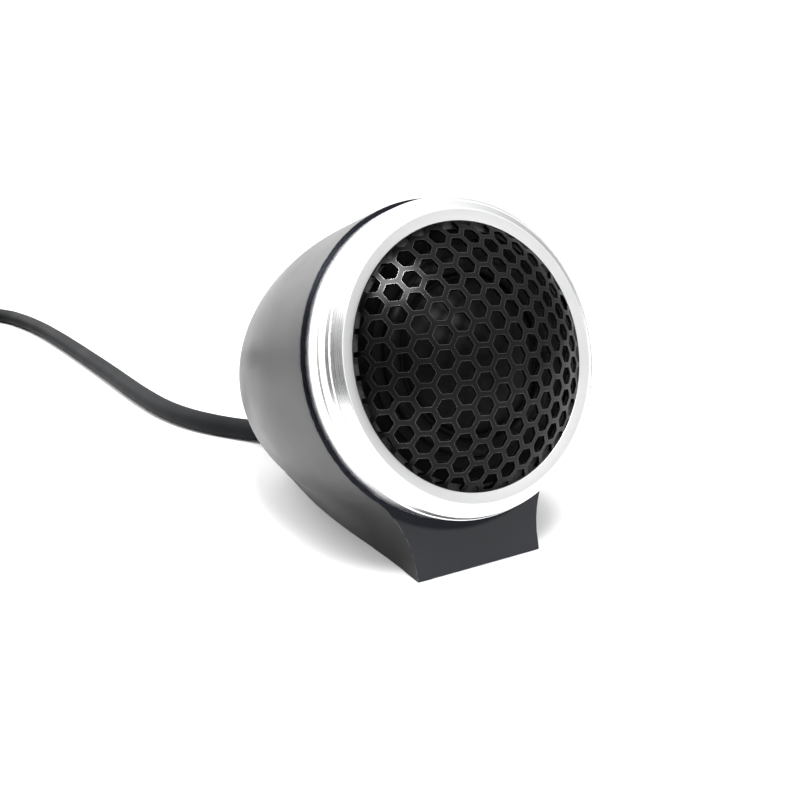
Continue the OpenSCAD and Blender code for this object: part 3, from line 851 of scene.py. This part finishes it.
# ---------------------------------------------------------------- trim ring
RING_BORE = 25.6
RING_R = 26.62
OPENING_R = 22.0
RING_H = 7.2
RING_OUTLINE = [
    (RING_BORE, 0.02), (RING_R, 0.02), (RING_R, 4.3), (26.28, 4.45), (26.28, 4.6), (26.46, 4.72),
    (26.1, 5.9), (23.9, 7.65), (OPENING_R, RING_H), (OPENING_R, 6.5), (RING_BORE, 6.5),
]
RING_ROUNDS = [0.05, 0.12, 0.06, 0.03, 0.03, 0.06, 0.55, 0.3, 0.12, 0.08, 0.05]
ring = turned("front_ring", RING_OUTLINE, RING_ROUNDS, "ring", "pod", 384, 6)
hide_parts("trim_ring")

# ---------------------------------------------------------------- grille
GRILLE_SPHERE = 36.5
GRILLE_T = 0.6
GRILLE_EDGE = 21.85
GRILLE_C = 6.5 - math.sqrt((GRILLE_SPHERE - GRILLE_T) ** 2 - GRILLE_EDGE**2)
PITCH = 3.79
HOLE_FLATS = 2.95
HOLE_TURN = math.radians(-4.5)
HOLE_PHASE = (-6.425, -2.149)
HOLE_CORNER = 0.28


def hexagon(flats, corner, count):
    """count points a side round a hexagon with rounded corners, evenly by angle."""
    out = []
    for k in range(6 * count):
        a = 2 * PI * k / (6 * count)
        fold = (a + PI / 6) % (PI / 3) - PI / 6
        flat = flats / 2 / math.cos(fold)
        if corner > 0:
            tip = flats / math.sqrt(3)
            near = tip - corner * (2 / math.sqrt(3) - 1)
            to_corner = PI / 6 - abs(fold)
            c = tip - corner * 2 / math.sqrt(3)
            s = c * math.sin(to_corner)
            if abs(s) < corner:
                along = c * math.cos(to_corner) + math.sqrt(corner**2 - s**2)
                touch = math.atan2(corner / 2, c + corner * math.sqrt(3) / 2)
                if to_corner < touch:
                    flat = min(along, near) if to_corner < 1e-6 else along
        out.append((flat * math.cos(a), flat * math.sin(a)))
    return out


def clip_to_circle(poly, r):
    out = []
    n = len(poly)
    for i in range(n):
        a, b = np.array(poly[i]), np.array(poly[(i + 1) % n])
        a_in, b_in = np.hypot(*a) <= r, np.hypot(*b) <= r
        if a_in:
            out.append(tuple(a))
        if a_in != b_in:
            d = b - a
            qa, qb, qc = d @ d, 2 * (a @ d), a @ a - r * r
            root = math.sqrt(max(qb * qb - 4 * qa * qc, 0))
            for t in ((-qb - root) / (2 * qa), (-qb + root) / (2 * qa)):
                if 0 <= t <= 1:
                    out.append(tuple(a + d * t))
                    break
    return out


def build_grille():
    per_side = 8
    edge_flat = GRILLE_SPHERE * math.asin(GRILLE_EDGE / GRILLE_SPHERE)
    hole = hexagon(HOLE_FLATS, HOLE_CORNER, per_side)
    cell = hexagon(PITCH, 0, per_side)
    step_a = (PITCH * math.sin(HOLE_TURN), -PITCH * math.cos(HOLE_TURN))
    step_b = (PITCH * math.cos(HOLE_TURN - PI / 6), PITCH * math.sin(HOLE_TURN - PI / 6))
    turn = math.atan2(step_a[1], step_a[0])
    c, s = math.cos(turn), math.sin(turn)
    found, points, faces = {}, [], []

    def index(p):
        key = (round(p[0], 4), round(p[1], 4))
        if key not in found:
            far = math.hypot(*p)
            polar = far / GRILLE_SPHERE
            k = GRILLE_SPHERE * math.sin(polar) / far if far > 1e-9 else 0
            found[key] = len(points)
            points.append((p[0] * k, p[1] * k, GRILLE_C + GRILLE_SPHERE * math.cos(polar)))
        return found[key]

    reach = range(-9, 10)
    for i in reach:
        for j in reach:
            x = HOLE_PHASE[0] + i * step_a[0] + j * step_b[0]
            y = HOLE_PHASE[1] + i * step_a[1] + j * step_b[1]
            if math.hypot(x, y) > edge_flat + PITCH:
                continue
            inner = [(x + c * u - s * v, y + s * u + c * v) for u, v in hole]
            outer = [(x + c * u - s * v, y + s * u + c * v) for u, v in cell]
            n = len(inner)
            for k in range(n):
                m = (k + 1) % n
                quad = clip_to_circle([inner[k], outer[k], outer[m], inner[m]], edge_flat)
                ids = []
                for p in quad:
                    q = index(p)
                    if q not in ids:
                        ids.append(q)
                if len(ids) > 2:
                    faces.append(tuple(ids))
    return mesh_from("mesh_grille", points, faces)


grille = bpy.data.objects.new("mesh_grille", build_grille())
bpy.context.scene.collection.objects.link(grille)
grille.matrix_world = ON_AXIS
grille.data.materials.append(LOOKS["grille"])
m = grille.modifiers.new("sheet", "SOLIDIFY")
m.thickness = GRILLE_T * MM
m.offset = -1
m.use_even_offset = True
rounded_edges(grille, 0.22, 50, 3)
bpy.context.view_layer.update()
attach(grille, "pod")
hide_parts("grille")

# ---------------------------------------------------------------- soft dome and surround
FACE_TOP = 6.0
DOME_R = 12.7
DOME_H = 5.6
DOME_T = 0.25
DOME_BASE = FACE_TOP + 0.35
DOME_SPHERE = (DOME_R**2 + DOME_H**2) / (2 * DOME_H)


def dome_outline():
    out = []
    widest = math.asin(DOME_R / DOME_SPHERE)
    base = DOME_BASE + DOME_H - DOME_SPHERE
    for k in range(33):
        a = widest * k / 32
        out.append((DOME_SPHERE * math.sin(a), base + DOME_SPHERE * math.cos(a)))
    out += [(DOME_R, DOME_BASE - 0.8), (DOME_R - DOME_T, DOME_BASE - 0.8)]
    inner = DOME_SPHERE - DOME_T
    widest = math.asin((DOME_R - DOME_T) / inner)
    for k in range(32, -1, -1):
        a = widest * k / 32
        out.append((inner * math.sin(a), base + inner * math.cos(a)))
    return out


outline = dome_outline()
dome = turned("soft_dome", outline, [0] * len(outline), "cloth", "diaphragm", 160)
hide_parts("dome")

SURROUND_IN, SURROUND_MID, SURROUND_OUT = 12.72, 14.9, 18.2
ROLL_R = 1.6
SURROUND_T = 0.25
SECTORS = 12


def surround_outline():
    top = [(SURROUND_IN, FACE_TOP + SURROUND_T)]
    for k in range(17):
        a = PI - PI * k / 16
        top.append((SURROUND_MID + ROLL_R * math.cos(a), FACE_TOP + SURROUND_T + ROLL_R * math.sin(a)))
    top.append((SURROUND_OUT, FACE_TOP + SURROUND_T))
    low = [(SURROUND_OUT, FACE_TOP + 0.01)]
    for k in range(17):
        a = PI * k / 16
        r = ROLL_R - SURROUND_T
        low.append((SURROUND_MID + r * math.cos(a), FACE_TOP + 0.01 + r * math.sin(a)))
    low.append((SURROUND_IN, FACE_TOP + 0.01))
    return top + low


def build_sector(index):
    outline = surround_outline()
    steps = 16
    width = 2 * PI / SECTORS
    points = []
    for k in range(steps + 1):
        a = width * (index - 0.5 + k / steps)
        points += [(r * math.cos(a), r * math.sin(a), z) for r, z in outline]
    n = len(outline)
    faces = [tuple(range(n)), tuple(range(steps * n + n - 1, steps * n - 1, -1))]
    for k in range(steps):
        for i in range(n):
            j = (i + 1) % n
            faces.append((k * n + i, k * n + j, (k + 1) * n + j, (k + 1) * n + i))
    return mesh_from(f"surround_{index + 1:02d}", points, faces)


for i in range(SECTORS):
    mesh = build_sector(i)
    sharp_by_angle(mesh, 50)
    sector = add_object(mesh.name, mesh, "cloth", None, ON_AXIS)
    bpy.context.view_layer.update()
    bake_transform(sector)
    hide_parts("surround")

# Tinsel leads, from the voice coil to the terminals
for side, name in ((1, "tinsel_positive"), (-1, "tinsel_negative")):
    x = 4.5 * side
    path = [(x, 12.3, 5.5), (x, 14.5, 5.52), (x, 16.8, 5.48), (x, 19, 5.5)]
    line = tube(name + "_line", path, 0.2, "rubber", None, ON_AXIS, 3)
    lead = add_object(name, mesh_of(line), None, None, ON_AXIS)
    bpy.data.objects.remove(line)
    bpy.context.view_layer.update()
    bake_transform(lead)
    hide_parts("tinsel_leads")

# ---------------------------------------------------------------- wiring inside the pod
WIRE_R = 0.9
INSIDE_WIRES = {
    "supply_wire_red": ("red", "red_jacket", [
        (-1.1, -16.2, -44.2), (-1.2, -16, -39.5), (-1.6, -13.6, -34), (-3.6, -10, -29),
        (-7.6, -6.2, -24.5), (-10.6, -2.8, -20.6), (-11, -0.6, -19), (-11, 0.95, -19)]),
    "link_wire_red": ("red", "red_jacket", [
        (11, 7.05, -19), (11, 8.6, -19), (11.4, 12, -18), (10.2, 15.8, -14.5), (6.6, 18.6, -11),
        (4.5, 19, -8), (4.5, 19, -6.1)]),
    "return_wire_black": ("black", "black_jacket", [
        (1.1, -16.2, -44.2), (1.2, -16, -39.5), (1.6, -13.6, -34), (2.6, -7, -28.5), (1.4, 2, -26.8),
        (-1.5, 10.5, -24.5), (-4, 16.5, -18.5), (-4.5, 19, -12), (-4.5, 19, -8), (-4.5, 19, -6.1)]),
}
for node, (look, record_slot, path) in INSIDE_WIRES.items():
    wire = tube(node + "_run", path, WIRE_R, look, "pod", ON_AXIS)
    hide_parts(node)

# ---------------------------------------------------------------- strain relief at the foot's rear
BORE = 2.44
RELIEF = [(BORE, -4.9), (2.98, -4.9), (2.98, 0), (4.2, 0), (4.2, 1.2), (3.4, 1.25)]
RELIEF_ROUNDS = [0.05, 0.2, 0.05, 0.15, 0.3, 0.15]
for k in range(3):
    z = 2.0 + 1.2 * k
    r = 3.35 - 0.12 * k
    RELIEF += [(r, z), (r - 0.35, z + 0.08), (r - 0.35, z + 0.45), (r - 0.05, z + 0.53)]
    RELIEF_ROUNDS += [0.08, 0.05, 0.05, 0.08]
RELIEF += [(2.9, 6.0), (BORE, 6.0)]
RELIEF_ROUNDS += [0.2, 0.1]
relief = turned("strain_relief", RELIEF, RELIEF_ROUNDS, "rubber", "pod", 96, 3, outlet_at)
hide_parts("cable_grommet")

# ---------------------------------------------------------------- what is on the cable's far end
SLEEVE_AT = Matrix.Translation(Vector((-84, 158, 3)) * MM) @ POINT_BACK
SLEEVE = [
    (0.0, 0.35), (1.9, 0.3), (2.55, 0.0), (2.85, 1.6), (2.95, 3.0), (2.95, 11.2), (2.75, 12),
    (BORE, 12), (BORE, 10), (0.0, 10),
]
SLEEVE_ROUNDS = [0, 0.3, 0.3, 0.8, 0.8, 0.3, 0.2, 0.1, 0.1, 0]
sleeve = turned("heat_shrink", SLEEVE, SLEEVE_ROUNDS, "rubber", "pod", 64, 4, SLEEVE_AT)
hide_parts("cable_sleeve")

LEAD_R = 1.1
LEADS = {
    "lead_red": ("red", "red_jacket", [
        (-82.8, 159, 3), (-82.6, 155, 2.7), (-81.4, 150, 1.9), (-79.6, 144, 1.6),
        (-78.6, 139, 1.9), (-78.5, 136, 2.1), (-78.5, 134, 2.1)]),
    "lead_black": ("black", "black_jacket", [
        (-85.2, 159, 3), (-85.4, 155, 2.7), (-86.7, 150, 1.9), (-88.5, 144, 1.6),
        (-89.4, 139, 1.9), (-89.5, 136, 2.1), (-89.5, 134, 2.1)]),
}
CONNECTOR_SLEEVE = [
    (0.0, 0.6), (1.2, 0.6), (1.5, 0.0), (2.1, 0.0), (2.0, 2.0), (1.85, 2.6), (1.85, 4.0), (2.0, 4.6),
    (2.1, 7.6), (2.1, 10), (1.55, 10), (1.55, 9.2), (0.0, 9.2),
]
CONNECTOR_ROUNDS = [0, 0.1, 0.2, 0.3, 0.4, 0.3, 0.3, 0.4, 0.6, 0.25, 0.1, 0.05, 0]
PIN = [
    (0.0, 9.0), (1.5, 9.0), (1.5, 13.6), (1.2, 14.0), (1.2, 14.6), (1.5, 15.0), (1.5, 17.0),
    (1.35, 17.8), (0.8, 18.4), (0.0, 18.5),
]
PIN_ROUNDS = [0, 0.1, 0.15, 0.1, 0.1, 0.2, 0.5, 0.5, 0.4, 0]
on_cable = [sleeve]
for color, x in (("red", -78.5), ("black", -89.5)):
    look, record_slot, path = LEADS["lead_" + color]
    lead = tube(f"lead_{color}_run", path, LEAD_R, look, "pod")
    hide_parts("lead_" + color)
    at = Matrix.Translation(Vector((x, 133.95, 2.1)) * MM) @ Matrix.Rotation(PI / 2, 4, "X")
    name = f"connector_{color}_cover"
    cover = turned(name, CONNECTOR_SLEEVE, CONNECTOR_ROUNDS, look, "pod", 48, 3, at)
    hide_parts("connector_" + color)
    pin = turned(f"connector_{color}_pin", PIN, PIN_ROUNDS, "brass", "pod", 48, 3, at)
    on_cable += [lead, cover, pin]

# Strap round the coil
TIE_T = 0.8
TIE_W = 6.0
TIE_TURN = math.radians(-60)


def build_strap():
    inner_r, outer_r, top = COIL_IN - CABLE_R, COIL_OUT + CABLE_R, 2 * CABLE_R * 2
    near, beyond, over = inner_r - TIE_T, outer_r + TIE_T, top + TIE_T
    outer = softened([(near, 0.02), (beyond, 0.02), (beyond, over), (near, over)], [0.6, 0.6, 3.0, 3.0], 8)
    hollow = [(inner_r, 0.3), (outer_r, 0.3), (outer_r, top), (inner_r, top)]
    inner = softened(hollow, [0.4, 0.4, 2.3, 2.3], 8)
    n = len(outer)
    points, faces = [], []
    steps = 8
    for k in range(steps + 1):
        w = TIE_W * (k / steps - 0.5)
        points += [(r, w, z) for r, z in outer] + [(r, w, z) for r, z in inner]
    for k in range(steps):
        a, b = k * 2 * n, (k + 1) * 2 * n
        for i in range(n):
            j = (i + 1) % n
            faces.append((a + i, a + j, b + j, b + i))
            faces.append((a + n + j, a + n + i, b + n + i, b + n + j))
    for a in (0, steps * 2 * n):
        for i in range(n):
            j = (i + 1) % n
            faces.append((a + i, a + n + i, a + n + j, a + j))
    return mesh_from("coil_strap", points, faces)


strap_at = Matrix.Translation(Vector((*COIL_AT, 0)) * MM) @ Matrix.Rotation(TIE_TURN, 4, "Z")
strap_mesh = build_strap()
sharp_by_angle(strap_mesh, 50)
strap = add_object("coil_strap", strap_mesh, "strap", "pod", strap_at)
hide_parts("coil_tie")
on_cable.append(strap)

# ---------------------------------------------------------------- CAD nodes that stay
KEPT = {
    "grille_gasket": "foam", "faceplate": "plastic", "driver_screws": "screw", "coil_former": "film",
    "voice_coil": "copper", "pole_plate": "steel", "magnet": "steel", "yoke_cup": "steel",
    "damping_felt": "grey_foam", "terminal_board": "board", "positive_terminal": "brass",
    "negative_terminal": "brass", "capacitor": "blue", "damping_foam": "grey_foam",
}
for node, look in KEPT.items():
    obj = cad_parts[node]
    if not obj.material_slots:
        obj.data.materials.append(LOOKS[look])
    for s in obj.material_slots:
        s.material = LOOKS[look]

# ---------------------------------------------------------------- floor, light and world
WORLD_PLAIN = 0.45
WORLD_BACK = (-0.5, 0.85, 0.25)
WORLD_BACK_GAIN = 1.95
WORLD_TOP_GAIN = 0.55
WORLD_FRONT = (0.35, -0.83, 0.42)
WORLD_FRONT_GAIN = 0.65
WORLD_LENS = (-0.66, -0.7, 0.26)
WORLD_LENS_DARK = 0.4
WORLD_SEEN = 1.4


def cosine(degrees):
    return math.cos(math.radians(degrees))


FLOOR_HALF = 3000
FLOOR_Z = -0.05
corners = [(x * FLOOR_HALF, y * FLOOR_HALF, FLOOR_Z) for x, y in ((-1, -1), (1, -1), (1, 1), (-1, 1))]
floor_mesh = mesh_from("floor", corners, [(0, 1, 2, 3)])
floor_mat = bpy.data.materials.new("white_floor")
floor_mat.use_nodes = True
floor_bsdf = floor_mat.node_tree.nodes["Principled BSDF"]
floor_bsdf.inputs["Base Color"].default_value = (0.8, 0.8, 0.8, 1)
floor_bsdf.inputs["Roughness"].default_value = 0.7
floor_bsdf.inputs["Specular IOR Level"].default_value = 0.2
floor = bpy.data.objects.new("floor", floor_mesh)
floor_mesh.materials.append(floor_mat)
bpy.context.scene.collection.objects.link(floor)

# The studio: a bright sweep behind and to the left, plain light in front, a dark patch round the lens.
world = bpy.data.worlds.new("studio")
bpy.context.scene.world = world
world.use_nodes = True
world_tree = world.node_tree
ahead = world_tree.nodes.new("ShaderNodeTexCoord").outputs["Generated"]


def toward(direction, low, high, gain):
    """A smooth glow of this gain about a direction, from none at cosine low to all at cosine high."""
    dot = world_tree.nodes.new("ShaderNodeVectorMath")
    dot.operation = "DOT_PRODUCT"
    world_tree.links.new(ahead, dot.inputs[0])
    dot.inputs[1].default_value = Vector(direction).normalized()
    n = world_tree.nodes.new("ShaderNodeMapRange")
    n.interpolation_type = "SMOOTHSTEP"
    world_tree.links.new(dot.outputs["Value"], n.inputs["Value"])
    n.inputs["From Min"].default_value = low
    n.inputs["From Max"].default_value = high
    n.inputs["To Min"].default_value = 0.0
    n.inputs["To Max"].default_value = gain
    return n.outputs["Result"]


def total(parts):
    out = parts[0]
    for part in parts[1:]:
        n = world_tree.nodes.new("ShaderNodeMath")
        n.operation = "ADD"
        world_tree.links.new(out, n.inputs[0])
        world_tree.links.new(part, n.inputs[1])
        out = n.outputs[0]
    return out


plain = world_tree.nodes.new("ShaderNodeValue")
plain.outputs[0].default_value = WORLD_PLAIN
glow = total([
    plain.outputs[0],
    toward(WORLD_BACK, 0.05, 0.95, WORLD_BACK_GAIN),
    toward((0, 0, 1), 0.3, 0.85, WORLD_TOP_GAIN),
    toward(WORLD_FRONT, cosine(60), cosine(30), WORLD_FRONT_GAIN),
    toward(WORLD_LENS, cosine(46), cosine(22), -WORLD_LENS_DARK),
])
# Past the floor's edge the backdrop is plain white; the glows are only in what the part reflects.
seen = world_tree.nodes.new("ShaderNodeMix")
rays = world_tree.nodes.new("ShaderNodeLightPath")
world_tree.links.new(rays.outputs["Is Camera Ray"], seen.inputs["Factor"])
world_tree.links.new(glow, seen.inputs[2])
seen.inputs[3].default_value = WORLD_SEEN
sky = world_tree.nodes["Background"]
sky.inputs["Color"].default_value = (1, 1, 1, 1)
world_tree.links.new(seen.outputs[0], sky.inputs["Strength"])


def softbox(name, at, aim, size, power):
    data = bpy.data.lights.new(name, "AREA")
    data.shape = "RECTANGLE"
    data.size, data.size_y = size
    data.energy = power
    obj = bpy.data.objects.new(name, data)
    obj.location = at
    obj.rotation_mode = "QUATERNION"
    obj.rotation_quaternion = (Vector(aim) - Vector(at)).to_track_quat("-Z", "Y")
    bpy.context.scene.collection.objects.link(obj)
    return obj


softbox("overhead", (-0.10, -0.26, 0.57), (0, -0.02, 0.03), (0.2, 0.2), 4.2)
softbox("back_sweep", (-0.45, 0.75, 0.5), (-0.4, 0.6, 0.0), (0.6, 0.6), 4)

scene = bpy.context.scene
scene.view_settings.view_transform = "Standard"
scene.view_settings.look = "None"
scene.view_settings.exposure = 0.0
